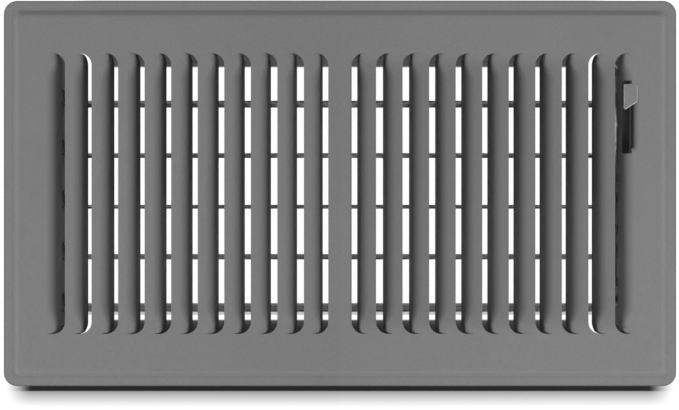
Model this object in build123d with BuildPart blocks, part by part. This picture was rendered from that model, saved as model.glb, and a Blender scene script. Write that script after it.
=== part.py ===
"""Floor register: stamped louvre face, sheet walls and a five-blade damper worked by a lever.

Millimetres. The origin is at the middle of the underside of the rim, which lies on the floor.
+Z points up out of the floor, +X runs along the length towards the lever, +Y across the width.
The damper is modelled open, with its blades upright.
"""

import os
from math import atan2, cos, radians, sin, tan

from build123d import *

# Faceplate outline and stepped rim
face_length = 343.0
face_width = 196.5
face_corner_radius = 6.8
face_sheet = 1.0
rim_band = 5.0
step_run = 3.0
field_rise = 2.0
step_corner_radius = 4.4
rim_edge_radius = 0.4
step_shoulder_radius = 1.6

# Louvres: a row of lanced slots on each half, set out from the ends towards the centre strip
last_bend_margin = 22.15
slot_end_margin = 27.05
louvre_pitch = 13.47
slot_cut = 9.8
centre_slot_cut = 8.7
least_centre_strip = 8.0
slot_tip_radius = 6.0
flap_bend_radius = 5.6
flap_angle = 80.0

# Lever slot in the faceplate
lever_slot_inset = 5.1
lever_slot_width = 7.75
lever_slot_length = 37.0
lever_slot_round = 4.0
lever_slot_corner = 0.8
lip_bend_radius = 3.4
lip_angle = 78.0
lip_leg = 0.4

# Sheet walls of the box
wall_sheet = 0.8
box_depth = 45.0
flap_end_clearance = 0.4
corner_gap = 18.2
skirt_flange = 6.5
end_wall_margin = 0.15
end_plate_inset = 0.5
end_plate_flange = 6.5
wall_corner_radius = 5.0
wall_bend_radius = 0.7
lever_notch_depth = 9.0
lever_notch_margin = 6.0

# Damper blades and their ears
blade_count = 5
blade_sheet = 0.7
blade_overlap = 1.8
blade_wall_gap = 1.7
blade_above_pivot = 12.0
blade_corner_radius = 3.0
bead_radius = 1.6
bead_below_pivot = 3.0
pivot_depth = 25.0
pivot_offset = 4.0
damper_swing = 87.0
ear_sheet = 0.8
ear_round = 4.2
ear_foot = 7.0
ear_foot_round = 0.5
crank_radius = 16.7
crank_round = 3.6

# Rivets and running clearances
pivot_radius = 2.0
shoulder_radius = 3.0
link_pin_radius = 1.6
lever_rivet_radius = 1.25
lever_rivet_spacing = 5.0
rivet_head_radius = 3.0
rivet_head_height = 1.1
lever_head_radius = 2.2
lever_head_height = 0.7
head_bevel = 0.5
running_clearance = 0.06
press_clearance = 0.02
side_gap = 0.3
blade_end_gap = 0.4

# Link bar and lever
bar_sheet = 1.0
bar_height = 6.0
bar_end_margin = 4.0
lever_sheet = 1.0
lever_stem_width = 8.4
lever_tab_reach = 6.0
lever_tab_overhang = 0.95
lever_tab_length = 13.4
lever_tab_lift = 0.5
lever_rest_offset = 9.8
lever_pin_offset = 1.5
lever_tab_edge = 0.5
lever_tab_round = 2.0
lever_tab_corner = 0.9
lever_tab_slant = 4.4

# Places worked out from the sizes above
field_top = face_sheet + field_rise
field_under = field_rise
half_slot = face_width / 2 - slot_end_margin
slot_length = 2 * half_slot
last_bend_x = face_length / 2 - last_bend_margin
least_first_bend = least_centre_strip / 2 + centre_slot_cut
slots_per_half = int((last_bend_x - least_first_bend) / louvre_pitch) + 1
step_angle = atan2(field_rise, step_run)
under_step_shift = face_sheet * (1 / cos(step_angle) - 1) / tan(step_angle)
skirt_inner_y = half_slot + flap_end_clearance
skirt_outer_y = skirt_inner_y + wall_sheet
plate_inner_x = last_bend_x + end_wall_margin
plate_outer_x = plate_inner_x + wall_sheet
half_skirt = plate_inner_x - corner_gap
half_end_plate = skirt_inner_y - end_plate_inset
lever_slot_left = last_bend_x - lever_slot_inset
lever_slot_right = lever_slot_left + lever_slot_width
half_swing = radians(damper_swing / 2)
crank_y = crank_radius * sin(half_swing)
crank_z = crank_radius * cos(half_swing)
pivot_z = -pivot_depth
blade_pitch = (2 * skirt_inner_y - blade_overlap - 2 * blade_wall_gap) / blade_count
blade_below_pivot = blade_pitch + blade_overlap - blade_above_pivot
first_pivot_y = skirt_inner_y - blade_wall_gap - blade_below_pivot
pivot_ys = [first_pivot_y - blade_pitch * step for step in range(blade_count)]
lever_inner_x = lever_slot_left + side_gap
bar_outer_x = lever_inner_x
bar_inner_x = bar_outer_x - bar_sheet
right_ear_outer_x = bar_inner_x - side_gap
right_ear_inner_x = right_ear_outer_x - ear_sheet
left_ear_outer_x = -plate_inner_x + blade_end_gap
left_ear_inner_x = left_ear_outer_x + ear_sheet
bar_z = pivot_z + crank_z
lever_tab_middle = first_pivot_y + crank_y - blade_pitch / 2 - lever_pin_offset
lever_slot_middle = lever_tab_middle - lever_rest_offset

os.makedirs("parts", exist_ok=True)


def export_piece(piece, name):
    """Label one finished piece and write its STEP file."""
    piece.part.label = name
    export_step(piece.part, f"parts/{name}.step")


def slot_places():
    """Give the cut line and the bend line of every slot of the right half, in order outwards."""
    first_bend = last_bend_x - louvre_pitch * (slots_per_half - 1)
    places = [(first_bend - centre_slot_cut, first_bend)]
    for step in range(1, slots_per_half):
        bend_line = first_bend + louvre_pitch * step
        places.append((bend_line - slot_cut, bend_line))
    return places


def slot_outline(cut_line, bend_line):
    """Draw one lanced opening: straight along the bend, quarter rounds at both ends of the cut."""
    tip = cut_line + slot_tip_radius
    turn = half_slot - slot_tip_radius
    with BuildLine() as outline:
        Polyline((tip, half_slot), (bend_line, half_slot), (bend_line, -half_slot), (tip, -half_slot))
        RadiusArc((tip, -half_slot), (cut_line, -turn), slot_tip_radius)
        Line((cut_line, -turn), (cut_line, turn))
        RadiusArc((cut_line, turn), (tip, half_slot), slot_tip_radius)
    make_face(outline.edges())


def bent_tab(bend_line, radius, angle, straight):
    """Draw the section of a tab that bends down from the field towards the middle of the face."""
    turn = radians(angle)
    half_turn = turn / 2
    inner = radius - face_sheet
    middle_z = field_top - radius

    def on_bend(arc_radius, swing, along=0.0):
        """Give a point of the bend, or of the straight leg that leaves it."""
        across = bend_line - arc_radius * sin(swing) - along * cos(swing)
        return across, middle_z + arc_radius * cos(swing) - along * sin(swing)

    with BuildLine() as section:
        ThreePointArc(on_bend(radius, 0), on_bend(radius, half_turn), on_bend(radius, turn))
        Polyline(
            on_bend(radius, turn),
            on_bend(radius, turn, straight),
            on_bend(inner, turn, straight),
            on_bend(inner, turn),
        )
        ThreePointArc(on_bend(inner, turn), on_bend(inner, half_turn), on_bend(inner, 0))
        Line(on_bend(inner, 0), on_bend(radius, 0))
    make_face(section.edges())


def flap_leg(cut):
    """Length of a flap past its bend: the blank's width less the length of the bend."""
    return cut - (flap_bend_radius - face_sheet / 2) * radians(flap_angle)


def flap_low_edge(cut):
    """Height of the lowest point of a flap that was cut this wide."""
    turn = radians(flap_angle)
    inner = flap_bend_radius - face_sheet
    return field_top - flap_bend_radius + inner * cos(turn) - flap_leg(cut) * sin(turn)


def bead_section(plane_y, middle_z):
    """Turn a strip of the blade into a half-round bead that stands towards the front."""
    with Locations((plane_y, middle_z)):
        Circle(bead_radius)
        Rectangle(2 * bead_radius, 2 * bead_radius, align=(Align.MIN, Align.CENTER), mode=Mode.SUBTRACT)
        Circle(bead_radius - blade_sheet, mode=Mode.SUBTRACT)


# Flaps: the bent section runs the length of a slot, then its free corners are rounded
slots = slot_places()
with BuildPart() as centre_flaps:
    with BuildSketch(Plane.XZ):
        bent_tab(slots[0][1], flap_bend_radius, flap_angle, flap_leg(centre_slot_cut))
    extrude(amount=half_slot, both=True)
    with BuildSketch(Plane.YZ):
        with Locations((0, flap_low_edge(centre_slot_cut))):
            RectangleRounded(
                slot_length,
                2 * face_length,
                slot_tip_radius,
                align=(Align.CENTER, Align.MIN),
            )
    extrude(amount=face_length, both=True, mode=Mode.INTERSECT)
    mirror(about=Plane.YZ)

with BuildPart() as outer_flaps:
    with BuildSketch(Plane.XZ):
        for _, bend_line in slots[1:]:
            bent_tab(bend_line, flap_bend_radius, flap_angle, flap_leg(slot_cut))
    extrude(amount=half_slot, both=True)
    with BuildSketch(Plane.YZ):
        with Locations((0, flap_low_edge(slot_cut))):
            RectangleRounded(
                slot_length,
                2 * face_length,
                slot_tip_radius,
                align=(Align.CENTER, Align.MIN),
            )
    extrude(amount=face_length, both=True, mode=Mode.INTERSECT)
    mirror(about=Plane.YZ)

# Drawn-down edge of the lever slot, carried round its two outer corners
lip_length = lever_slot_length - 2 * lever_slot_round
lip_turn_x = lever_slot_right - lever_slot_round
with BuildPart() as slot_lip:
    for end in (-1, 1):
        end_y = lever_slot_middle + end * lip_length / 2
        with BuildSketch(Plane.XZ.offset(-end_y)):
            bent_tab(lever_slot_right, lip_bend_radius, lip_angle, lip_leg)
        revolve(axis=Axis((lip_turn_x, end_y, 0), (0, 0, end)), revolution_arc=90)
    with BuildSketch(Plane.XZ.offset(-lever_slot_middle)):
        bent_tab(lever_slot_right, lip_bend_radius, lip_angle, lip_leg)
    extrude(amount=lip_length / 2, both=True)

# Faceplate: flat rim, stepped field, pierced slots, then the flaps grow from their bend lines
with BuildPart() as faceplate:
    with BuildSketch(Plane.XY):
        RectangleRounded(face_length, face_width, face_corner_radius)
    extrude(amount=face_sheet)
    fillet(faceplate.edges().group_by(Axis.Z)[-1], rim_edge_radius)
    for height, inset in ((face_sheet, rim_band), (field_top, rim_band + step_run)):
        with BuildSketch(Plane.XY.offset(height)):
            RectangleRounded(
                face_length - 2 * inset,
                face_width - 2 * inset,
                step_corner_radius - inset + rim_band,
            )
    loft(ruled=True)
    fillet(faceplate.edges().group_by(Axis.Z)[-1], step_shoulder_radius)
    for height, inset in ((0, rim_band), (field_under, rim_band + step_run)):
        with BuildSketch(Plane.XY.offset(height)):
            RectangleRounded(
                face_length - 2 * (inset + under_step_shift),
                face_width - 2 * (inset + under_step_shift),
                step_corner_radius - inset + rim_band,
            )
    loft(ruled=True, mode=Mode.SUBTRACT)
    with BuildSketch(Plane.XY.offset(field_top)):
        for cut_line, bend_line in slots:
            slot_outline(cut_line, bend_line)
        mirror(about=Plane.YZ)
    extrude(amount=-2 * face_sheet, mode=Mode.SUBTRACT)
    add(centre_flaps.part)
    add(outer_flaps.part)
    with BuildSketch(Plane.XY.offset(field_top)) as lever_slot_sketch:
        with Locations((lever_slot_left + lever_slot_width / 2, lever_slot_middle)):
            Rectangle(lever_slot_width, lever_slot_length)
        fillet(lever_slot_sketch.vertices().group_by(Axis.X)[-1], lever_slot_round)
        fillet(lever_slot_sketch.vertices().group_by(Axis.X)[0], lever_slot_corner)
    extrude(amount=-2 * flap_bend_radius, mode=Mode.SUBTRACT)
    add(slot_lip.part)
export_piece(faceplate, "faceplate")


# Long walls: a sheet folded outwards at the top to lie under the field
def build_skirt(name, side):
    """Fold one long wall.

    Args:
        name: the piece's name
        side: +1 for the wall at +Y, -1 for the wall at -Y
    """
    inner_y = side * skirt_inner_y
    outer_y = side * skirt_outer_y
    flange_y = outer_y + side * skirt_flange
    flange_under = field_under - wall_sheet
    with BuildPart() as skirt:
        with BuildSketch(Plane.YZ) as section:
            with BuildLine():
                Polyline(
                    (inner_y, -box_depth),
                    (inner_y, field_under),
                    (flange_y, field_under),
                    (flange_y, flange_under),
                    (outer_y, flange_under),
                    (outer_y, -box_depth),
                    close=True,
                )
            make_face()
            inner_corner = section.vertices().sort_by_distance((outer_y, flange_under))[0]
            fillet(inner_corner, wall_bend_radius)
        extrude(amount=half_skirt, both=True)
        bottom = skirt.edges().filter_by(Axis.Y).group_by(Axis.Z)[0]
        fillet(bottom, wall_corner_radius)
    export_piece(skirt, name)


build_skirt("skirt_rear", 1)
build_skirt("skirt_front", -1)


# Short walls: pierced for the pivots and folded outwards at the top
def build_end_plate(name, side, with_lever_notch):
    """Fold one short wall.

    Args:
        name: the piece's name
        side: +1 for the wall at +X, -1 for the wall at -X
        with_lever_notch: whether the top is cut away below the lever slot
    """
    inner_x = side * plate_inner_x
    outer_x = side * plate_outer_x
    flange_x = outer_x + side * end_plate_flange
    flange_under = field_under - wall_sheet
    with BuildPart() as plate:
        with BuildSketch(Plane.XZ) as section:
            with BuildLine():
                Polyline(
                    (inner_x, -box_depth),
                    (inner_x, field_under),
                    (flange_x, field_under),
                    (flange_x, flange_under),
                    (outer_x, flange_under),
                    (outer_x, -box_depth),
                    close=True,
                )
            make_face()
            inner_corner = section.vertices().sort_by_distance((outer_x, 0, flange_under))[0]
            fillet(inner_corner, wall_bend_radius)
        extrude(amount=half_end_plate, both=True)
        bottom = plate.edges().filter_by(Axis.X).group_by(Axis.Z)[0]
        fillet(bottom, wall_corner_radius)
        with BuildSketch(Plane.YZ):
            for pivot_y in pivot_ys:
                with Locations((pivot_y, pivot_z)):
                    Circle(pivot_radius + press_clearance)
        extrude(amount=face_length, both=True, mode=Mode.SUBTRACT)
        if with_lever_notch:
            notch_length = lever_slot_length + 2 * lever_notch_margin
            with BuildSketch(Plane.YZ.offset(inner_x - wall_sheet)):
                with Locations((lever_slot_middle, field_under - lever_notch_depth)):
                    Rectangle(notch_length, 2 * lever_notch_depth, align=(Align.CENTER, Align.MIN))
            extrude(amount=2 * end_plate_flange, mode=Mode.SUBTRACT)
    export_piece(plate, name)


build_end_plate("end_plate_left", -1, False)
build_end_plate("end_plate_right", 1, True)


# Damper blades: a beaded sheet with an ear folded at each end, and a crank on the right ear
def build_blade(name, pivot_y):
    """Fold one blade, standing upright beside its pivot line.

    Args:
        name: the piece's name
        pivot_y: where its pivot line lies across the register
    """
    plane_y = pivot_y - pivot_offset
    low_z = pivot_z - blade_below_pivot
    height = blade_below_pivot + blade_above_pivot
    length = right_ear_inner_x - left_ear_inner_x
    middle_x = (right_ear_inner_x + left_ear_inner_x) / 2
    bead_z = pivot_z - bead_below_pivot
    feet = [(plane_y, pivot_z - ear_foot), (plane_y, pivot_z + ear_foot)]
    with BuildPart() as blade:
        with BuildSketch(Plane.XZ.offset(-plane_y)):
            with Locations((middle_x, low_z)):
                RectangleRounded(length, height, blade_corner_radius, align=(Align.CENTER, Align.MIN))
        extrude(amount=blade_sheet / 2, both=True)
        with BuildSketch(Plane.YZ.offset(left_ear_inner_x)):
            with Locations((plane_y, bead_z)):
                Circle(bead_radius - blade_sheet)
        extrude(amount=length, mode=Mode.SUBTRACT)
        with BuildSketch(Plane.YZ.offset(left_ear_inner_x)):
            bead_section(plane_y, bead_z)
        extrude(amount=length)
        with BuildSketch(Plane.YZ.offset(left_ear_outer_x)):
            with Locations((pivot_y, pivot_z)):
                Circle(ear_round)
            with Locations(feet):
                Circle(ear_foot_round)
            make_hull()
            with Locations((pivot_y, pivot_z)):
                Circle(pivot_radius + running_clearance, mode=Mode.SUBTRACT)
        extrude(amount=ear_sheet)
        with BuildSketch(Plane.YZ.offset(right_ear_inner_x)):
            with Locations((pivot_y, pivot_z)):
                Circle(ear_round)
            with Locations((pivot_y + crank_y, bar_z)):
                Circle(crank_round)
            with Locations(feet):
                Circle(ear_foot_round)
            make_hull()
            with Locations((pivot_y, pivot_z)):
                Circle(pivot_radius + running_clearance, mode=Mode.SUBTRACT)
            with Locations((pivot_y + crank_y, bar_z)):
                Circle(link_pin_radius + running_clearance, mode=Mode.SUBTRACT)
        extrude(amount=ear_sheet)
    export_piece(blade, name)


for index, pivot_y in enumerate(pivot_ys):
    build_blade(f"damper_blade_{index + 1}", pivot_y)


def turned_rivet(stretches):
    """Turn one rivet that lies along X and bevel the rims of its two ends.

    Args:
        stretches: the start, the end and the radius of each round stretch
    """
    with BuildPart() as rivet:
        for start_x, end_x, radius in stretches:
            with BuildSketch(Plane.YZ.offset(start_x)):
                Circle(radius)
            extrude(amount=end_x - start_x)
        rims = rivet.edges().filter_by(GeomType.CIRCLE).group_by(Axis.X)
        chamfer(rims[0] + rims[-1], head_bevel)
    return rivet.part


# Pivot rivets: head outside the end plate, shoulder inside it, and a clenched head past the ear
pivots = [(0, pivot_y, pivot_z) for pivot_y in pivot_ys]
right_clench_x = right_ear_inner_x - side_gap
pivot_rivet_right = turned_rivet(
    [
        (right_clench_x - rivet_head_height, right_clench_x, rivet_head_radius),
        (right_clench_x, plate_outer_x, pivot_radius),
        (right_ear_outer_x + side_gap, plate_inner_x, shoulder_radius),
        (plate_outer_x, plate_outer_x + rivet_head_height, rivet_head_radius),
    ]
)
with BuildPart() as pivot_rivets_right:
    with Locations(pivots):
        add(pivot_rivet_right)
export_piece(pivot_rivets_right, "pivot_rivets_right")

left_clench_x = left_ear_inner_x + side_gap
pivot_rivet_left = turned_rivet(
    [
        (-plate_outer_x - rivet_head_height, -plate_outer_x, rivet_head_radius),
        (-plate_outer_x, left_clench_x, pivot_radius),
        (left_clench_x, left_clench_x + rivet_head_height, rivet_head_radius),
    ]
)
with BuildPart() as pivot_rivets_left:
    with Locations(pivots):
        add(pivot_rivet_left)
export_piece(pivot_rivets_left, "pivot_rivets_left")

# Link bar: pierced for the crank pins and for the lever rivets
cranks = [(pivot_y + crank_y, bar_z) for pivot_y in pivot_ys]
half_lever_spacing = lever_rivet_spacing / 2
lever_rivet_places = [
    (lever_tab_middle - half_lever_spacing, bar_z),
    (lever_tab_middle + half_lever_spacing, bar_z),
]
with BuildPart() as link_bar:
    bar_length = blade_pitch * (blade_count - 1) + 2 * bar_end_margin
    bar_middle = (cranks[0][0] + cranks[-1][0]) / 2
    with BuildSketch(Plane.YZ.offset(bar_inner_x)):
        with Locations((bar_middle, bar_z)):
            SlotOverall(bar_length, bar_height)
        with Locations(cranks):
            Circle(link_pin_radius + press_clearance, mode=Mode.SUBTRACT)
        with Locations(lever_rivet_places):
            Circle(lever_rivet_radius + press_clearance, mode=Mode.SUBTRACT)
    extrude(amount=bar_sheet)
export_piece(link_bar, "link_bar")

link_rivet = turned_rivet(
    [
        (right_clench_x - rivet_head_height, right_clench_x, rivet_head_radius),
        (right_clench_x, bar_outer_x, link_pin_radius),
        (bar_outer_x, bar_outer_x + rivet_head_height, rivet_head_radius),
    ]
)
with BuildPart() as link_rivets:
    with Locations([(0, *crank) for crank in cranks]):
        add(link_rivet)
export_piece(link_rivets, "link_rivets")

# Lever: an upright stem on the bar, headed at the top by the finger tab
lever_outer_x = lever_inner_x + lever_sheet
tab_under = field_top + lever_tab_lift
tab_top = tab_under + lever_sheet
tab_start_x = lever_inner_x - lever_tab_overhang
tab_end_x = lever_inner_x + lever_tab_reach
tab_low_y = lever_tab_middle - lever_tab_length / 2
tab_high_y = lever_tab_middle + lever_tab_length / 2
with BuildPart() as lever:
    with BuildSketch(Plane.YZ.offset(lever_inner_x)):
        with Locations((lever_tab_middle, bar_z - bar_height / 2)):
            Rectangle(
                lever_stem_width,
                tab_top - bar_z + bar_height / 2,
                align=(Align.CENTER, Align.MIN),
            )
        with Locations(lever_rivet_places):
            Circle(lever_rivet_radius + press_clearance, mode=Mode.SUBTRACT)
    extrude(amount=lever_sheet)
    with BuildSketch(Plane.XY.offset(tab_under)) as tab_sketch:
        with BuildLine():
            Polyline(
                (tab_start_x, tab_low_y),
                (tab_end_x, tab_low_y + lever_tab_slant),
                (tab_end_x, tab_high_y),
                (tab_start_x, tab_high_y),
                close=True,
            )
        make_face()
        fillet(tab_sketch.vertices().group_by(Axis.X)[-1], lever_tab_round)
        fillet(tab_sketch.vertices().group_by(Axis.X)[0], lever_tab_corner)
    extrude(amount=lever_sheet)
    tab_edges = lever.faces().sort_by(Axis.Z)[-1].edges()
    fillet(tab_edges, lever_tab_edge)
export_piece(lever, "lever")

lever_rivet = turned_rivet(
    [
        (bar_inner_x, lever_outer_x, lever_rivet_radius),
        (lever_outer_x, lever_outer_x + lever_head_height, lever_head_radius),
    ]
)
with BuildPart() as lever_rivets:
    with Locations([(0, *place) for place in lever_rivet_places]):
        add(lever_rivet)
export_piece(lever_rivets, "lever_rivets")
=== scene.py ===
"""Looks of the floor register: paint and plating, spot welds, studio light, floor and camera."""

import logging
import math
from dataclasses import dataclass, field
from enum import Enum
from typing import ClassVar

import bpy
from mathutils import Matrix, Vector


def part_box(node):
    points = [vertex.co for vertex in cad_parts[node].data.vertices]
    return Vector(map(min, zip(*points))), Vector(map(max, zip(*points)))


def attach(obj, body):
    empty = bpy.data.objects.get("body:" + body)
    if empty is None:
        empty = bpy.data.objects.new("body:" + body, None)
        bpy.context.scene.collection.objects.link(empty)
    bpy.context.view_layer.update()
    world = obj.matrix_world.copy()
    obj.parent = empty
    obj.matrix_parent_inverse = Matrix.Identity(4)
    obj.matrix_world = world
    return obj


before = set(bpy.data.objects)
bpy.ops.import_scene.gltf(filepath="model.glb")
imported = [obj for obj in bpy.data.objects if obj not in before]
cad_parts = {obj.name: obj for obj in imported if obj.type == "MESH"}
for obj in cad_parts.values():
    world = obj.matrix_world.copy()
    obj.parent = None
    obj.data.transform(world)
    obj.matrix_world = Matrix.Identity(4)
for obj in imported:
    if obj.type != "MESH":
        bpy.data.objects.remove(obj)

LOG = logging.getLogger("floor_register")
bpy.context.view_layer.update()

Colour = tuple[float, float, float]
Place = tuple[float, float, float]
Paint = tuple[float, float, float, float]
Coats = tuple[tuple[str, float, Paint], ...]
# Pale grey of real dust in sheltered corners, also laid on the outermost flaps as painted light.
DUST_AND_PAINTED_LIGHT: Paint = (0.315, 0.312, 0.305, 1.0)
WHITE: Paint = (1.0, 1.0, 1.0, 1.0)


class Slot(Enum):
    """Material slots of the record."""

    FACE = "face_paint"
    BOX = "box_paint"
    BLADE = "blade_paint"
    LEVER = "lever_paint"
    LINK = "link_steel"
    RIVET = "rivet_steel"


class Effect(Enum):
    """Shader node groups that several finishes share."""

    COAT_GRAIN = "coat_grain"
    SOFT_EDGES = "soft_edges"
    FIN_SET = "fin_set"
    RIM_LINE = "rim_line"
    SETTLED_DUST = "settled_dust"


class NodeSheet:
    """Adds and joins the nodes of one material, world or node group."""

    def __init__(self, tree: bpy.types.NodeTree) -> None:
        """Keep the tree and start with an empty sheet.

        Args:
            tree: The node tree to fill.
        """
        self.tree = tree
        tree.nodes.clear()

    def add(self, kind: str, **settings: object) -> bpy.types.Node:
        """Add one node.

        Args:
            kind: Blender's name for the node type.
            **settings: Attributes of the node to set.

        Returns:
            The new node.
        """
        node = self.tree.nodes.new(kind)
        for name, value in settings.items():
            setattr(node, name, value)
        return node

    def join(self, source: bpy.types.NodeSocket, target: bpy.types.NodeSocket) -> None:
        """Link an output socket to an input socket."""
        self.tree.links.new(source, target)

    def feed(self, target: bpy.types.NodeSocket, value: object) -> None:
        """Link a socket, or set a plain number, on an input.

        Args:
            target: The input socket.
            value: An output socket to link, or a plain value to store.
        """
        if isinstance(value, bpy.types.NodeSocket):
            self.join(value, target)
        else:
            target.default_value = value

    def math(self, operation: str, *operands: object) -> bpy.types.NodeSocket:
        """Add a Math node.

        Args:
            operation: The operation's name.
            *operands: Up to three sockets or numbers.

        Returns:
            The result's socket.
        """
        node = self.add("ShaderNodeMath", operation=operation)
        for socket, operand in zip(node.inputs, operands):
            self.feed(socket, operand)
        return node.outputs[0]

    def ramp(self, value: object, low: float, high: float, to_low: object = 0.0, to_high: object = 1.0,
             smooth: bool = True) -> bpy.types.NodeSocket:
        """Map one range of values on to another, held at both ends.

        Args:
            value: The socket or number to map.
            low: Value that gives to_low.
            high: Value that gives to_high.
            to_low: Result at low, a socket or a number.
            to_high: Result at high, a socket or a number.
            smooth: Whether the change eases in and out.

        Returns:
            The result's socket.
        """
        node = self.add("ShaderNodeMapRange", interpolation_type="SMOOTHSTEP" if smooth else "LINEAR")
        for index, item in enumerate((value, low, high, to_low, to_high)):
            self.feed(node.inputs[index], item)
        return node.outputs[0]

    def mix(self, factor: object, first: object, second: object) -> bpy.types.NodeSocket:
        """Mix two colours.

        Args:
            factor: Share of the second colour, a socket or a number.
            first: First colour, a socket or four numbers.
            second: Second colour, a socket or four numbers.

        Returns:
            The mixed colour's socket.
        """
        node = self.add("ShaderNodeMix", data_type="RGBA")
        self.feed(node.inputs[0], factor)
        self.feed(node.inputs[6], first)
        self.feed(node.inputs[7], second)
        return node.outputs[2]

    def layers(self, colour: object, source: bpy.types.Node, coats: Coats) -> bpy.types.NodeSocket:
        """Lay colours over one another, each where a mask of a node shows it.

        Args:
            colour: The colour below, a socket or four numbers.
            source: The node whose outputs are the masks.
            coats: The mask's name, the greatest share and the colour of each layer, lowest first.

        Returns:
            The covered colour's socket.
        """
        for mask, share, tone in coats:
            colour = self.mix(self.math("MULTIPLY", source.outputs[mask], share), colour, tone)
        return colour

    def split(self, vector: bpy.types.NodeSocket) -> bpy.types.bpy_prop_collection:
        """Split a vector and give the sockets of its three parts."""
        node = self.add("ShaderNodeSeparateXYZ")
        self.join(vector, node.inputs[0])
        return node.outputs

    def noise(self, place: bpy.types.NodeSocket, scale: object, detail: float = 2.0,
              roughness: float = 0.5) -> bpy.types.NodeSocket:
        """Add a noise texture.

        Args:
            place: Socket with the coordinates.
            scale: Cells to the metre, a socket or a number.
            detail: Number of finer layers.
            roughness: Strength of the finer layers.

        Returns:
            The noise value's socket.
        """
        node = self.add("ShaderNodeTexNoise")
        self.join(place, node.inputs["Vector"])
        self.feed(node.inputs["Scale"], scale)
        node.inputs["Detail"].default_value = detail
        node.inputs["Roughness"].default_value = roughness
        return node.outputs[0]

    def bump(self, height: bpy.types.NodeSocket, normal: bpy.types.NodeSocket, depth: float) -> bpy.types.NodeSocket:
        """Add a bump to a normal.

        Args:
            height: Socket with the height, from 0 to 1.
            normal: Socket with the normal below.
            depth: What a height of 1 stands for, in metres.

        Returns:
            The bumped normal's socket.
        """
        node = self.add("ShaderNodeBump")
        node.inputs["Strength"].default_value = 1.0
        node.inputs["Distance"].default_value = depth
        self.join(height, node.inputs["Height"])
        self.join(normal, node.inputs["Normal"])
        return node.outputs[0]

    def object_place(self) -> bpy.types.NodeSocket:
        """Give the socket with the piece's own coordinates in metres."""
        return self.add("ShaderNodeTexCoord").outputs["Object"]

    def seen(self) -> bpy.types.NodeSocket:
        """Give a socket that is 1 where the camera, a reflection or a clear piece shows the background."""
        rays = self.add("ShaderNodeLightPath").outputs
        mirrored = self.math("MAXIMUM", rays["Is Glossy Ray"], rays["Is Transmission Ray"])
        return self.math("MAXIMUM", rays["Is Camera Ray"], mirrored)


def start_material(name: str, kind: str = "ShaderNodeBsdfPrincipled") -> tuple:
    """Start a material with one shader on its surface.

    Args:
        name: The material's name.
        kind: Blender's name for the shader.

    Returns:
        The material, its sheet and its shader.
    """
    made = bpy.data.materials.new(name)
    made.use_nodes = True
    sheet = NodeSheet(made.node_tree)
    shader = sheet.add(kind)
    sheet.join(shader.outputs[0], sheet.add("ShaderNodeOutputMaterial").inputs["Surface"])
    return made, sheet, shader


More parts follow.
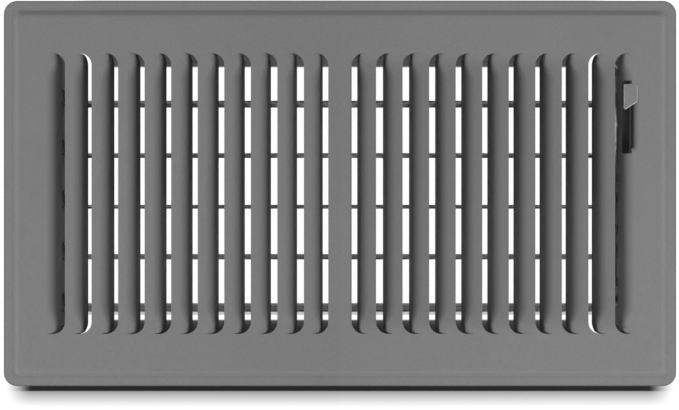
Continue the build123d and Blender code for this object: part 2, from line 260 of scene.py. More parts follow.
class SharedEffects:
    """Builds the shader node groups once and places them in materials."""

    UPWARD: ClassVar[float] = 0.05
    BENT: ClassVar[float] = 0.01
    DRAWN_FLAT: ClassVar[float] = 0.94
    CENTRE_HALF: ClassVar[float] = 0.001
    LEAN_FADE: ClassVar[float] = 0.008
    LOW_EDGE: ClassVar[tuple[float, float]] = (-0.0030, -0.0036)
    SLOT_STEEP: ClassVar[tuple[float, float]] = (0.85, 0.50)
    FLAP_STEEP: ClassVar[tuple[float, float]] = (0.78, 0.94)
    STEP_LINE: ClassVar[tuple[float, float]] = (0.0011, 0.0001)

    def __init__(self) -> None:
        """Build every group."""
        self.groups = {
            Effect.COAT_GRAIN: self._coat_grain(),
            Effect.SOFT_EDGES: self._soft_edges(),
            Effect.FIN_SET: self._fin_set(),
            Effect.RIM_LINE: self._rim_line(),
            Effect.SETTLED_DUST: self._settled_dust(),
        }

    @staticmethod
    def _group(effect: Effect, inputs: dict[str, str], outputs: dict[str, str]) -> tuple:
        """Start an empty group with named sockets.

        Args:
            effect: The group to start.
            inputs: Socket types of the inputs by name.
            outputs: Socket types of the outputs by name.

        Returns:
            The group's tree, its sheet, its input node and its output node.
        """
        tree = bpy.data.node_groups.new(effect.value, "ShaderNodeTree")
        for name, kind in inputs.items():
            tree.interface.new_socket(name, in_out="INPUT", socket_type=kind)
        for name, kind in outputs.items():
            tree.interface.new_socket(name, in_out="OUTPUT", socket_type=kind)
        sheet = NodeSheet(tree)
        return tree, sheet, sheet.add("NodeGroupInput"), sheet.add("NodeGroupOutput")

    def _coat_grain(self) -> bpy.types.NodeTree:
        """Build the fine orange-peel of sprayed powder, with slow drifts of tone and gloss."""
        tree, sheet, source, sink = self._group(
            Effect.COAT_GRAIN,
            {"Grains": "NodeSocketFloat"},
            {"Height": "NodeSocketFloat", "Tone": "NodeSocketFloat", "Gloss": "NodeSocketFloat"},
        )
        place = sheet.object_place()
        grains = source.outputs["Grains"]
        fine = sheet.noise(place, grains, 2.0, 0.55)
        peel = sheet.noise(place, sheet.math("MULTIPLY", grains, 0.32), 1.0)
        height = sheet.math("ADD", sheet.math("MULTIPLY", fine, 0.55), sheet.math("MULTIPLY", peel, 0.45))
        drift = sheet.noise(place, 11.0, 2.0)
        tone = sheet.math("ADD", sheet.math("MULTIPLY", fine, 0.62), sheet.math("MULTIPLY", drift, 0.38))
        sheet.join(height, sink.inputs["Height"])
        sheet.join(sheet.ramp(tone, 0.34, 0.66), sink.inputs["Tone"])
        sheet.join(sheet.ramp(sheet.math("ADD", peel, drift), 0.7, 1.3), sink.inputs["Gloss"])
        return tree

    def _soft_edges(self) -> bpy.types.NodeTree:
        """Build the rounding of painted sheet edges and a mask of where the coat is thin, on which the paints also
        lay a painted highlight.
        """
        tree, sheet, source, sink = self._group(
            Effect.SOFT_EDGES,
            {"Radius": "NodeSocketFloat", "Breaks": "NodeSocketFloat"},
            {"Normal": "NodeSocketVector", "Edge": "NodeSocketFloat"},
        )
        bevel = sheet.add("ShaderNodeBevel", samples=6)
        sheet.join(source.outputs["Radius"], bevel.inputs["Radius"])
        plain = sheet.add("ShaderNodeNewGeometry").outputs["Normal"]
        turn = sheet.add("ShaderNodeVectorMath", operation="DOT_PRODUCT")
        sheet.join(bevel.outputs[0], turn.inputs[0])
        sheet.join(plain, turn.inputs[1])
        edge = sheet.ramp(turn.outputs["Value"], 0.97, 0.80)
        patches = sheet.noise(sheet.object_place(), source.outputs["Breaks"], 3.0, 0.6)
        sheet.join(sheet.math("MULTIPLY", edge, sheet.ramp(patches, 0.35, 0.62)), sink.inputs["Edge"])
        sheet.join(bevel.outputs[0], sink.inputs["Normal"])
        return tree

    def _fin_set(self) -> bpy.types.NodeTree:
        """Build the lean of the fins, the drawn ends of the rolls, and masks of the flaps and the slot's edge."""
        tree, sheet, source, sink = self._group(
            Effect.FIN_SET,
            {"Normal": "NodeSocketVector", "Lean Left": "NodeSocketFloat", "Lean Right": "NodeSocketFloat",
             "Inner": "NodeSocketFloat", "Outer": "NodeSocketFloat", "Bank End": "NodeSocketFloat",
             "Reach": "NodeSocketFloat", "Draw": "NodeSocketFloat", "Slot Left": "NodeSocketFloat",
             "Slot Middle": "NodeSocketFloat", "Slot Half": "NodeSocketFloat"},
            {"Normal": "NodeSocketVector", "Low Edge": "NodeSocketFloat", "Outer Flap": "NodeSocketFloat",
             "Slot Edge": "NodeSocketFloat"},
        )
        values = source.outputs
        axes = sheet.split(sheet.object_place())
        parts = sheet.split(values["Normal"])
        along = sheet.math("ABSOLUTE", axes["X"])
        inward = sheet.math("MULTIPLY", sheet.math("SIGN", axes["X"]), -1.0)
        fade = sheet.math("SUBTRACT", values["Reach"], sheet.math("ABSOLUTE", axes["Y"]))
        past_inner = sheet.math("GREATER_THAN", along, values["Inner"])
        on_bank = sheet.math("MULTIPLY", past_inner, sheet.math("LESS_THAN", along, values["Bank End"]))
        on_fins = sheet.math("MULTIPLY", past_inner, sheet.math("LESS_THAN", along, values["Outer"]))
        steep = sheet.math("MULTIPLY", parts["X"], inward)
        upper = sheet.math("GREATER_THAN", parts["Z"], self.UPWARD)
        bent = sheet.math("MULTIPLY", upper, sheet.math("GREATER_THAN", steep, self.BENT))
        drawn = sheet.math("MULTIPLY", on_bank, bent)
        start = sheet.ramp(fade, 0.0, values["Draw"], self.DRAWN_FLAT, 0.0)
        kept = sheet.ramp(steep, start, 1.0, smooth=False)
        rest = sheet.math("SQRT", sheet.math("SUBTRACT", 1.0, sheet.math("MULTIPLY", kept, kept)))
        turned = sheet.add("ShaderNodeCombineXYZ")
        sheet.join(sheet.math("MULTIPLY", kept, inward), turned.inputs["X"])
        sheet.join(parts["Y"], turned.inputs["Y"])
        sheet.join(rest, turned.inputs["Z"])
        blended = sheet.add("ShaderNodeMix", data_type="VECTOR")
        sheet.join(drawn, blended.inputs[0])
        sheet.join(values["Normal"], blended.inputs[4])
        sheet.join(turned.outputs[0], blended.inputs[5])
        lean = sheet.ramp(axes["X"], -self.CENTRE_HALF, self.CENTRE_HALF, values["Lean Left"], values["Lean Right"])
        held = sheet.math("MULTIPLY", sheet.math("MULTIPLY", on_fins, upper), sheet.ramp(fade, 0.0, self.LEAN_FADE))
        push = sheet.add("ShaderNodeCombineXYZ")
        sheet.join(sheet.math("MULTIPLY", sheet.math("MULTIPLY", lean, held), inward), push.inputs["X"])
        total = sheet.add("ShaderNodeVectorMath", operation="ADD")
        sheet.join(blended.outputs[1], total.inputs[0])
        sheet.join(push.outputs[0], total.inputs[1])
        unit = sheet.add("ShaderNodeVectorMath", operation="NORMALIZE")
        sheet.join(total.outputs[0], unit.inputs[0])
        sheet.join(unit.outputs[0], sink.inputs["Normal"])
        apart = sheet.math("ABSOLUTE", sheet.math("SUBTRACT", axes["Y"], values["Slot Middle"]))
        in_slot = sheet.math("MULTIPLY", sheet.math("LESS_THAN", apart, values["Slot Half"]),
                             sheet.math("GREATER_THAN", axes["X"], values["Slot Left"]))
        past_outer = sheet.math("MULTIPLY", drawn, sheet.math("GREATER_THAN", along, values["Outer"]))
        flap = sheet.math("MULTIPLY", past_outer, sheet.math("SUBTRACT", 1.0, in_slot))
        # Masks of the painted shade at the flaps' low edge and on the lever slot's steep lip, and of the painted
        # light on the outermost flaps.
        for name, area, value, limits in (
            ("Low Edge", on_bank, axes["Z"], self.LOW_EDGE),
            ("Slot Edge", in_slot, parts["Z"], self.SLOT_STEEP),
            ("Outer Flap", flap, steep, self.FLAP_STEEP),
        ):
            sheet.join(sheet.math("MULTIPLY", area, sheet.ramp(value, *limits)), sink.inputs[name])
        return tree

    def _rim_line(self) -> bpy.types.NodeTree:
        """Build masks of the painted shade along the outer edge of the face and at the foot of its step, and of the
        painted highlight on its shoulder.
        """
        tree, sheet, source, sink = self._group(
            Effect.RIM_LINE,
            {"Half Length": "NodeSocketFloat", "Half Width": "NodeSocketFloat", "Corner": "NodeSocketFloat",
             "Line": "NodeSocketFloat", "Foot": "NodeSocketFloat", "Shoulder": "NodeSocketFloat"},
            {"Edge": "NodeSocketFloat", "Foot": "NodeSocketFloat", "Shoulder": "NodeSocketFloat"},
        )
        values = source.outputs
        axes = sheet.split(sheet.object_place())
        beyond = []
        for axis, half in (("X", "Half Length"), ("Y", "Half Width")):
            straight = sheet.math("SUBTRACT", values[half], values["Corner"])
            beyond.append(sheet.math("SUBTRACT", sheet.math("ABSOLUTE", axes[axis]), straight))
        past = [sheet.math("MAXIMUM", item, 0.0) for item in beyond]
        reach = sheet.math("SQRT", sheet.math("ADD", *(sheet.math("MULTIPLY", item, item) for item in past)))
        within = sheet.math("MINIMUM", sheet.math("MAXIMUM", *beyond), 0.0)
        inside = sheet.math("SUBTRACT", sheet.math("SUBTRACT", values["Corner"], reach), within)
        sheet.join(sheet.ramp(sheet.math("DIVIDE", inside, values["Line"]), 1.0, 0.4), sink.inputs["Edge"])
        for name in ("Foot", "Shoulder"):
            apart = sheet.math("ABSOLUTE", sheet.math("SUBTRACT", inside, values[name]))
            sheet.join(sheet.ramp(apart, *self.STEP_LINE), sink.inputs[name])
        return tree

    def _settled_dust(self) -> bpy.types.NodeTree:
        """Build a thin mask of dust in sheltered corners."""
        tree, sheet, source, sink = self._group(
            Effect.SETTLED_DUST,
            {"Reach": "NodeSocketFloat"},
            {"Dust": "NodeSocketFloat"},
        )
        shelter = sheet.add("ShaderNodeAmbientOcclusion", samples=4, only_local=True)
        sheet.join(source.outputs["Reach"], shelter.inputs["Distance"])
        patches = sheet.noise(sheet.object_place(), 160.0, 3.0, 0.6)
        held = sheet.ramp(shelter.outputs["AO"], 0.75, 0.25)
        sheet.join(sheet.math("MULTIPLY", held, sheet.ramp(patches, 0.35, 0.65)), sink.inputs["Dust"])
        return tree

    def place(self, sheet: NodeSheet, effect: Effect, **values: object) -> bpy.types.Node:
        """Place a group in a material.

        Args:
            sheet: The material's sheet.
            effect: The group to place.
            **values: Input values or sockets by name.

        Returns:
            The group node.
        """
        node = sheet.add("ShaderNodeGroup", node_tree=self.groups[effect])
        for name, value in values.items():
            sheet.feed(node.inputs[name], value)
        return node


@dataclass(frozen=True)
class FinLean:
    """How far the fins lean, and where they stand on the face."""

    lean_left: float = 0.0
    lean_right: float = 0.28
    inner: float = 0.0050
    outer: float = 0.1396
    bank_end: float = 0.1494
    reach: float = 0.0712
    draw: float = 0.0140
    slot_left: float = 0.1450
    slot_middle: float = 0.0388
    slot_half: float = 0.0190
    # Painted shade on the flaps' low edges.
    edge_dark: float = 0.6
    # Painted light: share of the pale grey that lightens the outermost flaps.
    outer_flap_painted_light: float = 1.0
    # Painted shade on the lever slot's steep lip, and the tone of both painted shades.
    slot_painted_shade: float = 0.9
    painted_shade_tone: float = 0.2

    def sockets(self) -> dict[str, float]:
        """Give the inputs of the fin_set group by name."""
        return {
            "Lean Left": self.lean_left, "Lean Right": self.lean_right, "Inner": self.inner, "Outer": self.outer,
            "Bank End": self.bank_end, "Reach": self.reach, "Draw": self.draw, "Slot Left": self.slot_left,
            "Slot Middle": self.slot_middle, "Slot Half": self.slot_half,
        }

    def coats(self, colour: Colour) -> Coats:
        """List the painted shade and painted light on the fins.

        Args:
            colour: The colour of the paint below.

        Returns:
            The mask, share and colour of each layer.
        """
        # Painted shade deep in the louvres and in the lever slot, and painted light on the outermost flaps.
        painted_shade_colour = shade(colour, self.painted_shade_tone)
        return (("Low Edge", self.edge_dark, painted_shade_colour), ("Outer Flap", self.outer_flap_painted_light, DUST_AND_PAINTED_LIGHT),
                ("Slot Edge", self.slot_painted_shade, painted_shade_colour))


@dataclass(frozen=True)
class RimLine:
    """The outline of the face, and how broad and dark the painted shade along it is."""

    half_length: float = 0.1715
    half_width: float = 0.09825
    corner: float = 0.0068
    line: float = 0.0009
    foot: float = 0.0048
    shoulder: float = 0.0075
    # Painted shade along the outer edge of the face.
    dark: float = 0.50
    dark_tone: float = 0.1
    # Painted shade at the foot of the step.
    foot_painted_shade: float = 0.16
    foot_tone: float = 0.5
    # Painted highlight on the shoulder of the step.
    shoulder_painted_highlight: float = 0.08
    shoulder_tone: float = 2.0

    def sockets(self) -> dict[str, float]:
        """Give the inputs of the rim_line group by name."""
        return {
            "Half Length": self.half_length, "Half Width": self.half_width, "Corner": self.corner,
            "Line": self.line, "Foot": self.foot, "Shoulder": self.shoulder,
        }

    def coats(self, colour: Colour) -> Coats:
        """List the painted shade and painted highlight along the rim.

        Args:
            colour: The colour of the paint below.

        Returns:
            The mask, share and colour of each layer.
        """
        return (("Foot", self.foot_painted_shade, shade(colour, self.foot_tone)),
                ("Shoulder", self.shoulder_painted_highlight, shade(colour, self.shoulder_tone)),
                ("Edge", self.dark, shade(colour, self.dark_tone)))


@dataclass(frozen=True)
class PaintFinish:
    """A matt powder coat on sheet steel."""

    name: str
    colour: Colour
    tone_spread: float = 0.065
    roughness: float = 0.70
    roughness_spread: float = 0.08
    grains: float = 1500.0
    grain_depth: float = 0.00004
    edge_radius: float = 0.0004
    # Lighter edges, for coat worn thin there and for a painted highlight along them.
    edge_wear_and_highlight: float = 0.35
    edge_tone: float = 1.9
    edge_breaks: float = 420.0
    dust_reach: float = 0.004
    dust_share: float = 0.05
    gloss: float = 0.25
    fins: FinLean | None = None
    rim: RimLine | None = None
    # Painted highlight on the rounded rims above the face: its share, its tone and the height where it starts.
    raised_highlight: float = 0.0
    raised_highlight_tone: float = 4.0
    highlight_floor: float = 0.0034
    highlight_rise: float = 0.0004

    def material(self, effects: SharedEffects) -> bpy.types.Material:
        """Build the paint.

        Args:
            effects: The shared node groups.

        Returns:
            The finished material.
        """
        made, sheet, shader = start_material(self.name)
        grain = effects.place(sheet, Effect.COAT_GRAIN, Grains=self.grains)
        edges = effects.place(sheet, Effect.SOFT_EDGES, Radius=self.edge_radius, Breaks=self.edge_breaks)
        dust = effects.place(sheet, Effect.SETTLED_DUST, Reach=self.dust_reach)
        dark, light = (shade(self.colour, 1.0 + side * self.tone_spread) for side in (-1.0, 1.0))
        coat = sheet.mix(grain.outputs["Tone"], dark, light)
        # Lighter edges: coat worn thin there, and a painted highlight along them.
        coat = sheet.layers(coat, edges, (("Edge", self.edge_wear_and_highlight, shade(self.colour, self.edge_tone)),))
        coat = sheet.layers(coat, dust, (("Dust", self.dust_share, DUST_AND_PAINTED_LIGHT),))
        normal = edges.outputs["Normal"]
        if self.fins is not None:
            fins = effects.place(sheet, Effect.FIN_SET, Normal=normal, **self.fins.sockets())
            normal = fins.outputs["Normal"]
            # Painted shade and painted light on the fins.
            coat = sheet.layers(coat, fins, self.fins.coats(self.colour))
        # Painted highlight on the lever tab's rounded rims.
        if self.raised_highlight > 0.0:
            coat = sheet.mix(self._raised_highlight(sheet), coat, shade(self.colour, self.raised_highlight_tone))
        if self.rim is not None:
            line = effects.place(sheet, Effect.RIM_LINE, **self.rim.sockets())
            # Painted shade and painted highlight along the rim.
            coat = sheet.layers(coat, line, self.rim.coats(self.colour))
        sheet.join(coat, shader.inputs["Base Color"])
        smoothest, roughest = self.roughness - self.roughness_spread, self.roughness + self.roughness_spread
        sheet.join(sheet.ramp(grain.outputs["Gloss"], 0.0, 1.0, smoothest, roughest, smooth=False),
                   shader.inputs["Roughness"])
        sheet.join(sheet.bump(grain.outputs["Height"], normal, self.grain_depth), shader.inputs["Normal"])
        shader.inputs["Specular IOR Level"].default_value = self.gloss
        return made

    def _raised_highlight(self, sheet: NodeSheet) -> bpy.types.NodeSocket:
        """Mask the rounded rims above the face that take a painted highlight.

        Args:
            sheet: The paint's sheet.

        Returns:
            The mask's socket.
        """
        slope = sheet.split(sheet.add("ShaderNodeNewGeometry").outputs["Normal"])["Z"]
        rounded = sheet.math("MULTIPLY", sheet.ramp(slope, 0.97, 0.70), sheet.ramp(slope, 0.10, 0.45))
        level = sheet.split(sheet.object_place())["Z"]
        raised = sheet.ramp(level, self.highlight_floor, self.highlight_floor + self.highlight_rise)
        return sheet.math("MULTIPLY", sheet.math("MULTIPLY", rounded, raised), self.raised_highlight)


@dataclass(frozen=True)
class PlatedFinish:
    """Zinc-plated bare steel with rolling lines and dulled patches."""

    name: str
    colour: Colour
    roughness: float = 0.36
    roughness_spread: float = 0.26
    line_stretch: float = 0.06
    line_count: float = 2600.0
    line_depth: float = 0.00001
    edge_radius: float = 0.00025
    edge_breaks: float = 600.0
    patch_count: float = 240.0

    def material(self, effects: SharedEffects) -> bpy.types.Material:
        """Build the plating.

        Args:
            effects: The shared node groups.

        Returns:
            The finished material.
        """
        made, sheet, shader = start_material(self.name)
        shader.inputs["Metallic"].default_value = 1.0
        edges = effects.place(sheet, Effect.SOFT_EDGES, Radius=self.edge_radius, Breaks=self.edge_breaks)
        stretch = sheet.add("ShaderNodeMapping")
        stretch.inputs["Scale"].default_value = (1.0, self.line_stretch, 1.0)
        sheet.join(sheet.object_place(), stretch.inputs["Vector"])
        lines = sheet.noise(stretch.outputs[0], self.line_count, 3.0, 0.6)
        dull = sheet.ramp(sheet.noise(sheet.object_place(), self.patch_count, 4.0, 0.6), 0.42, 0.68)
        plate = sheet.mix(lines, shade(self.colour, 0.86), shade(self.colour, 1.08))
        plate = sheet.mix(sheet.math("MULTIPLY", dull, 0.55), plate, shade(self.colour, 0.62))
        plate = sheet.layers(plate, edges, (("Edge", 0.5, shade(self.colour, 1.3)),))
        sheet.join(plate, shader.inputs["Base Color"])
        worn = sheet.ramp(sheet.math("ADD", dull, lines), 0.2, 1.6, self.roughness,
                          self.roughness + self.roughness_spread)
        sheet.join(worn, shader.inputs["Roughness"])
        sheet.join(sheet.bump(lines, edges.outputs["Normal"], self.line_depth), shader.inputs["Normal"])
        return made


def shade(colour: Colour, factor: float) -> Paint:
    """Make a colour lighter or darker.

    Args:
        colour: Linear red, green and blue.
        factor: What to multiply them by.

    Returns:
        The new colour with full alpha.
    """
    return tuple(min(1.0, part * factor) for part in colour) + (1.0,)


class FinishShop:
    """Holds one material for each slot of the record."""

    def __init__(self, effects: SharedEffects) -> None:
        """Build every finish.

        Args:
            effects: The shared node groups.
        """
        finishes = {
            Slot.FACE: PaintFinish("face_powder_coat", (0.200, 0.200, 0.200), fins=FinLean(),
                                   rim=RimLine()),
            Slot.BOX: PaintFinish("box_powder_coat", (0.100, 0.100, 0.100)),
            Slot.BLADE: PaintFinish("blade_powder_coat", (0.280, 0.280, 0.280)),
            Slot.LEVER: PaintFinish("lever_powder_coat", (0.190, 0.190, 0.190), roughness=0.45, raised_highlight=1.0),
            Slot.LINK: PlatedFinish("link_zinc", (0.55, 0.55, 0.54)),
            Slot.RIVET: PlatedFinish("rivet_zinc", (0.58, 0.58, 0.57), line_stretch=1.0, line_count=900.0),
        }
        self.materials = {slot: finish.material(effects) for slot, finish in finishes.items()}

    def dress(self, piece: bpy.types.Object, slot: Slot) -> None:
        """Give a piece the finish of one slot.

        Args:
            piece: The mesh to dress.
            slot: The slot whose finish it takes.
        """
        piece.data.materials.clear()
        piece.data.materials.append(self.materials[slot])


@dataclass
class SubAssembly:
    """A group of nodes that are dressed together."""

    nodes: tuple[tuple[str, Slot], ...] = ()

    def dress(self, shop: FinishShop) -> None:
        """Give every node its finish.

        Args:
            shop: The finishes.
        """
        for name, slot in self.nodes:
            shop.dress(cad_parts[name], slot)
            LOG.info("dressed %s with %s", name, slot.value)


@dataclass
class LouvreFace(SubAssembly):
    """The stamped face with its two banks of fins."""

    nodes: tuple[tuple[str, Slot], ...] = (("faceplate", Slot.FACE),)


@dataclass
class DuctBox(SubAssembly):
    """The four sheet walls under the face and the pivots in them."""

    nodes: tuple[tuple[str, Slot], ...] = (
        ("skirt_front", Slot.BOX),
        ("skirt_rear", Slot.BOX),
        ("end_plate_left", Slot.BOX),
        ("end_plate_right", Slot.BOX),
        ("pivot_rivets_left", Slot.RIVET),
        ("pivot_rivets_right", Slot.RIVET),
    )
    wall_sheet: float = 0.0008
    fold_width: float = 0.0065
    weld_radius: float = 0.0017
    weld_rise: float = 0.0003
    weld_dish: float = 0.00018
    weld_margin: float = 0.016
    weld_sides: int = 28
    weld_round: float = 0.00012
    weld_ring: float = 0.000476
    weld_slope: float = 0.000238
    weld_smooth: float = math.radians(40.0)
    weld_counts: tuple[tuple[str, int], ...] = (
        ("skirt_front", 6),
        ("skirt_rear", 6),
        ("end_plate_left", 4),
    )

    def weld(self, shop: FinishShop) -> None:
        """Model one spot weld and copy it along the folds that hold the walls under the face.

        Args:
            shop: The finishes.
        """
        pattern = self._weld_mark()
        for wall, count in self.weld_counts:
            marks = [self._copy(pattern, spot) for spot in self._weld_spots(wall, count)]
            bpy.ops.object.select_all(action="DESELECT")
            for mark in marks:
                mark.select_set(True)
            bpy.context.view_layer.objects.active = marks[0]
            bpy.ops.object.join()
            row = bpy.context.object
            row.name = f"{wall}_welds"
            shop.dress(row, Slot.BOX)
            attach(row, "register")
            LOG.info("modelled %s with %d spot welds", row.name, count)
        bpy.data.objects.remove(pattern)

    def _weld_mark(self) -> bpy.types.Object:
        """Model one dished weld mark, hanging from its upper face at the origin.

        Returns:
            The mark to copy.
        """
        bpy.ops.object.select_all(action="DESELECT")
        bpy.ops.mesh.primitive_cylinder_add(vertices=self.weld_sides, radius=self.weld_radius, depth=self.weld_rise,
                                            location=(0.0, 0.0, -self.weld_rise / 2))
        bpy.ops.object.transform_apply(location=True)
        mark = bpy.context.object
        bpy.ops.object.mode_set(mode="EDIT")
        bpy.ops.mesh.select_mode(type="FACE")
        bpy.ops.mesh.select_all(action="DESELECT")
        bpy.ops.object.mode_set(mode="OBJECT")
        for face in mark.data.polygons:
            face.select = face.normal.z < -0.5
        bpy.ops.object.mode_set(mode="EDIT")
        bpy.ops.mesh.bevel(offset=self.weld_round, segments=2, affect="EDGES")
        bpy.ops.mesh.select_all(action="DESELECT")
        bpy.ops.object.mode_set(mode="OBJECT")
        for face in mark.data.polygons:
            face.select = face.normal.z < -0.99 and len(face.vertices) > 4
        bpy.ops.object.mode_set(mode="EDIT")
        bpy.ops.mesh.inset(thickness=self.weld_ring)
        bpy.ops.mesh.inset(thickness=self.weld_slope, depth=-self.weld_dish)
        bpy.ops.object.mode_set(mode="OBJECT")
        bpy.ops.object.shade_smooth_by_angle(angle=self.weld_smooth)
        return mark

    def _weld_spots(self, wall: str, count: int) -> list[Vector]:
        """Set out the welds along the middle of one wall's fold.

        Args:
            wall: The wall's node.
            count: How many welds its fold has.

        Returns:
            The middle of each weld on the fold's underside.
        """
        low, high = (Vector(corner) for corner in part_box(wall))
        long_axis = 0 if high.x - low.x > high.y - low.y else 1
        cross_axis = 1 - long_axis
        outward = 1.0 if low[cross_axis] + high[cross_axis] > 0.0 else -1.0
        edge = high[cross_axis] if outward > 0.0 else low[cross_axis]
        spots = []
        for step in range(count):
            spot = Vector((0.0, 0.0, high.z - self.wall_sheet))
            spot[cross_axis] = edge - outward * self.fold_width / 2
            first, last = low[long_axis] + self.weld_margin, high[long_axis] - self.weld_margin
            spot[long_axis] = first + (last - first) * step / (count - 1)
            spots.append(spot)
        return spots

    @staticmethod
    def _copy(pattern: bpy.types.Object, spot: Vector) -> bpy.types.Object:
        """Copy a piece with its own mesh and set the copy at a spot.

        Args:
            pattern: The piece to copy.
            spot: Where the copy goes.

        Returns:
            The copy, at the origin with its place in its mesh.
        """
        bpy.ops.object.select_all(action="DESELECT")
        pattern.select_set(True)
        bpy.context.view_layer.objects.active = pattern
        bpy.ops.object.duplicate(linked=False)
        bpy.ops.transform.translate(value=spot)
        bpy.ops.object.transform_apply(location=True)
        return bpy.context.object


@dataclass
class Damper(SubAssembly):
    """The five linked blades, their bar and the lever."""

    nodes: tuple[tuple[str, Slot], ...] = (
        ("damper_blade_1", Slot.BLADE),
        ("damper_blade_2", Slot.BLADE),
        ("damper_blade_3", Slot.BLADE),
        ("damper_blade_4", Slot.BLADE),
        ("damper_blade_5", Slot.BLADE),
        ("link_bar", Slot.LINK),
        ("link_rivets", Slot.RIVET),
        ("lever", Slot.LEVER),
        ("lever_rivets", Slot.RIVET),
    )


@dataclass
class SoftBox:
    """One square studio lamp, turned to the middle of the face."""

    name: str
    place: Place
    size: float
    watts: float

    def build(self) -> bpy.types.Object:
        """Hang the lamp and turn it to the face.

        Returns:
            The lamp.
        """
        light = bpy.data.lights.new(self.name, "AREA")
        light.size = self.size
        light.energy = self.watts
        lamp = bpy.data.objects.new(self.name, light)
        lamp.location = self.place
        lamp.rotation_euler = (-Vector(self.place)).to_track_quat("-Z", "Y").to_euler()
        lamp.visible_camera = False
        bpy.context.scene.collection.objects.link(lamp)
        return lamp


@dataclass
class PaperFloor:
    """The pale floor on which the box stands, white to the camera and painted with the shade round the box."""

    level: float = -0.0452
    size: float = 6.0
    grey: float = 0.40
    shade_grey: float = 0.02
    roughness: float = 0.9
    gloss: float = 0.1
    glow: float = 0.69
    box_half: tuple[float, float] = (0.1495, 0.0708)
    box_fade: float = 0.001
    wall_end: float = 0.130
    wall_end_fade: float = 0.004
    corner_half: tuple[float, float] = (0.1505, 0.0795)
    corner_fade: tuple[float, float] = (0.003, 0.002)
    rim_half: tuple[float, float] = (0.167, 0.086)
    shelter_half: tuple[float, float] = (0.188, 0.107)
    shelter: float = 0.55
    end_shelter: float = 0.97
    end_shelter_fade: float = 0.004
    shade_end: float = 0.174
    shade_fade: float = 0.017
    shade_start: float = 0.0015
    shade_front: float = 0.1116
    shade_edge: float = 0.0004
    light_front: float = 0.1210
    blade_shade: tuple[float, float] = (0.0645, 0.0682)
    blade_fade: float = 0.0006
    blade_depth: float = 0.45
    end_light: tuple[float, float] = (0.105, 0.125)
    end_strength: float = 0.70
    front_light: tuple[float, float] = (-0.004, 0.016)
    front_strength: float = 0.50
    lever_along: tuple[float, float] = (0.10, 0.11)
    lever_across: tuple[float, float] = (0.008, 0.016)

    def lay(self) -> None:
        """Lay the floor and paint it."""
        bpy.ops.object.select_all(action="DESELECT")
        bpy.ops.mesh.primitive_plane_add(size=self.size, location=(0.0, 0.0, self.level))
        bpy.ops.object.transform_apply(location=True)
        ground = bpy.context.object
        ground.name = "paper_floor"
        ground.data.materials.append(self._paper())

    def _paper(self) -> bpy.types.Material:
        """Build the paper, clear from below.

        Returns:
            The finished material.
        """
        made, sheet, mixed = start_material("paper", "ShaderNodeMixShader")
        shader = sheet.add("ShaderNodeBsdfPrincipled")
        sheet.join(sheet.add("ShaderNodeNewGeometry").outputs["Backfacing"], mixed.inputs[0])
        sheet.join(shader.outputs[0], mixed.inputs[1])
        sheet.join(sheet.add("ShaderNodeBsdfTransparent").outputs[0], mixed.inputs[2])
        shader.inputs["Roughness"].default_value = self.roughness
        shader.inputs["Specular IOR Level"].default_value = self.gloss
        shader.inputs["Emission Color"].default_value = WHITE
        axes = sheet.split(sheet.object_place())
        along = sheet.math("ABSOLUTE", axes["X"])
        across = sheet.math("ABSOLUTE", axes["Y"])
        front = sheet.math("MULTIPLY", axes["Y"], -1.0)
        under = self._under(sheet, along, across)
        shelter = self._shelter(sheet, along, across)
        strip = sheet.math("MULTIPLY", sheet.ramp(along, self.shade_end + self.shade_fade, self.shade_end),
                           sheet.ramp(front, self.box_half[1], self.box_half[1] + self.shade_start))
        line = sheet.ramp(front, self.shade_front + self.shade_edge, self.shade_front - self.shade_edge)
        fall = sheet.ramp(front, self.light_front, self.shade_front, smooth=False)
        dim = sheet.math("MAXIMUM", sheet.math("MAXIMUM", under, shelter), sheet.math("MULTIPLY", strip, line))
        grey, dark = ((tone, tone, tone, 1.0) for tone in (self.grey, self.shade_grey))
        sheet.join(sheet.mix(dim, grey, dark), shader.inputs["Base Color"])
        rise = sheet.math("SUBTRACT", 1.0, sheet.math("MAXIMUM", shelter, sheet.math("MULTIPLY", strip, fall)))
        low, high = self.blade_shade
        shaded = sheet.math("MULTIPLY", sheet.ramp(front, low, low + self.blade_fade),
                            sheet.ramp(front, high + self.blade_fade, high))
        bright = sheet.math("SUBTRACT", under, sheet.math("MULTIPLY", shaded, self.blade_depth))
        shown = sheet.math("MAXIMUM", bright, sheet.math("MULTIPLY", rise, self.glow))
        sheet.join(sheet.ramp(sheet.seen(), 0.0, 1.0, self._upward(sheet, axes, under), shown, smooth=False),
                   shader.inputs["Emission Strength"])
        return made

    def _under(self, sheet: NodeSheet, along: bpy.types.NodeSocket,
               across: bpy.types.NodeSocket) -> bpy.types.NodeSocket:
        """Mask the floor between the walls and in the open corners of the box.

        Args:
            sheet: The paper's sheet.
            along: Distance from the middle along the face.
            across: Distance from the middle across the face.

        Returns:
            The mask's socket.
        """
        (box_x, box_y), (corner_x, corner_y) = self.box_half, self.corner_half
        fade_x, fade_y = self.corner_fade
        between = sheet.math("MULTIPLY", sheet.ramp(along, self.wall_end - self.wall_end_fade, self.wall_end),
                             sheet.ramp(along, corner_x + fade_x, corner_x))
        open_corner = sheet.math("MULTIPLY", between, sheet.ramp(across, corner_y + fade_y, corner_y))
        inside = sheet.math("MULTIPLY", sheet.ramp(along, box_x + self.box_fade, box_x),
                            sheet.ramp(across, box_y + self.box_fade, box_y))
        return sheet.math("MAXIMUM", open_corner, inside)

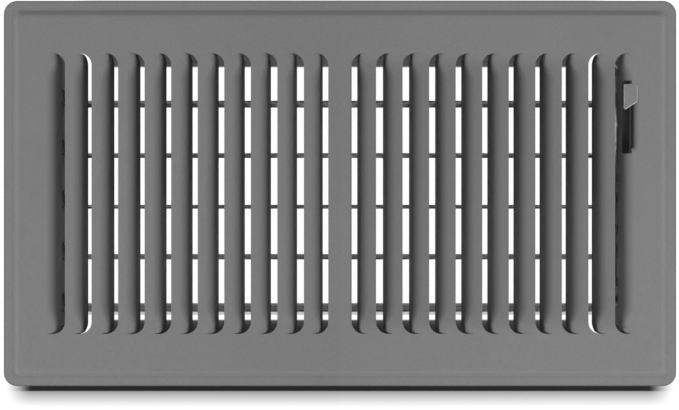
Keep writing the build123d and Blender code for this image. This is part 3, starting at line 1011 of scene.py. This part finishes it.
    def _shelter(self, sheet: NodeSheet, along: bpy.types.NodeSocket,
                 across: bpy.types.NodeSocket) -> bpy.types.NodeSocket:
        """Give the soft shade below the rim, deepest at the two ends.

        Args:
            sheet: The paper's sheet.
            along: Distance from the middle along the face.
            across: Distance from the middle across the face.

        Returns:
            The shade's socket.
        """
        (near_x, near_y), (far_x, far_y) = self.rim_half, self.shelter_half
        box_x = self.box_half[0]
        deep = sheet.ramp(along, box_x - self.end_shelter_fade, box_x, self.shelter, self.end_shelter)
        return sheet.math("MULTIPLY", sheet.ramp(along, far_x, near_x, 0.0, deep), sheet.ramp(across, far_y, near_y))

    def _upward(self, sheet: NodeSheet, axes: bpy.types.bpy_prop_collection,
                under: bpy.types.NodeSocket) -> bpy.types.NodeSocket:
        """Give the soft light that the paper in the box sends up, but not below the lever.

        Args:
            sheet: The paper's sheet.
            axes: The place on the floor.
            under: Mask of the floor in the box.

        Returns:
            The light's socket.
        """
        lever_side = sheet.math("MULTIPLY", sheet.ramp(axes["X"], *self.lever_along),
                                sheet.ramp(axes["Y"], *self.lever_across))
        ends = sheet.ramp(sheet.math("ABSOLUTE", axes["X"]), *self.end_light)
        near_ends = sheet.math("MULTIPLY", sheet.math("SUBTRACT", ends, lever_side), self.end_strength)
        front = sheet.math("MULTIPLY", axes["Y"], -1.0)
        lit = sheet.math("MAXIMUM", near_ends, sheet.ramp(front, *self.front_light, 0.0, self.front_strength))
        return sheet.math("MULTIPLY", lit, under)


@dataclass
class LampCard:
    """A thin grey card over the middle of the face, so that each lamp lights its own half alone."""

    foot: float = -0.0452
    height: float = 1.6
    width: float = 0.9
    grey: float = 0.40

    def stand(self) -> None:
        """Stand the card on the floor, unseen by the camera."""
        bpy.ops.object.select_all(action="DESELECT")
        bpy.ops.mesh.primitive_plane_add(size=1.0, location=(0.0, 0.0, self.foot + self.height / 2),
                                         rotation=(0.0, math.pi / 2, 0.0))
        flag = bpy.context.object
        flag.name = "lamp_card"
        flag.scale = (self.height, self.width, 1.0)
        bpy.ops.object.transform_apply(location=True, rotation=True, scale=True)
        made, _, shader = start_material("card_grey", "ShaderNodeBsdfDiffuse")
        shader.inputs["Color"].default_value = (self.grey, self.grey, self.grey, 1.0)
        flag.data.materials.append(made)
        flag.visible_camera = False
        flag.visible_glossy = False


@dataclass
class Studio:
    """The floor, the lamps with their card, the room's light and the camera."""

    image_width: float = 679.0
    face_pixels: float = 672.0
    face_length: float = 0.343
    camera_height: float = 0.43
    rim_height: float = 0.0005
    centre_right: float = 0.5
    centre_up: float = 11.5
    sensor: float = 36.0
    nearest: float = 0.01
    room_light: float = 0.112
    lamps: tuple[SoftBox, ...] = (
        SoftBox("left_box", (-2.10, -1.36, 3.40), 0.9, 151.0),
        SoftBox("right_box", (1.48, -0.96, 2.40), 0.6, 77.4),
    )
    card: LampCard = field(default_factory=LampCard)
    floor: PaperFloor = field(default_factory=PaperFloor)

    def camera(self) -> None:
        """Set the camera straight above the face, as in the photograph."""
        lens = bpy.data.cameras.new("camera")
        width = self.image_width * self.face_length / self.face_pixels
        lens.sensor_fit = "HORIZONTAL"
        lens.sensor_width = self.sensor
        lens.lens = self.sensor * self.camera_height / width
        lens.shift_x = -self.centre_right / self.image_width
        lens.shift_y = -self.centre_up / self.image_width
        lens.clip_start = self.nearest
        holder = bpy.data.objects.new("camera", lens)
        holder.location = (0.0, 0.0, self.rim_height + self.camera_height)
        bpy.context.scene.collection.objects.link(holder)
        bpy.context.scene.camera = holder

    def room(self) -> None:
        """Fill the room with soft light, white where the camera looks past the floor."""
        world = bpy.data.worlds.new("room")
        bpy.context.scene.world = world
        world.use_nodes = True
        sheet = NodeSheet(world.node_tree)
        sink = sheet.add("ShaderNodeOutputWorld")
        glow = sheet.add("ShaderNodeBackground")
        glow.inputs["Color"].default_value = WHITE
        sheet.join(sheet.ramp(sheet.seen(), 0.0, 1.0, self.room_light, 1.0, smooth=False), glow.inputs["Strength"])
        sheet.join(glow.outputs[0], sink.inputs["Surface"])

    def build(self) -> None:
        """Set up light, floor, camera and the plain view transform."""
        bpy.context.scene.view_settings.view_transform = "Standard"
        self.room()
        for lamp in self.lamps:
            lamp.build()
        self.card.stand()
        self.floor.lay()
        self.camera()
        LOG.info("studio ready with %d lamps", len(self.lamps))


def main() -> None:
    """Build the studio and dress every sub-assembly."""
    logging.basicConfig(level=logging.INFO, format="%(name)s: %(message)s")
    shop = FinishShop(SharedEffects())
    box = DuctBox()
    for assembly in (LouvreFace(), box, Damper()):
        assembly.dress(shop)
    box.weld(shop)
    Studio().build()


if __name__ == "__main__":
    main()
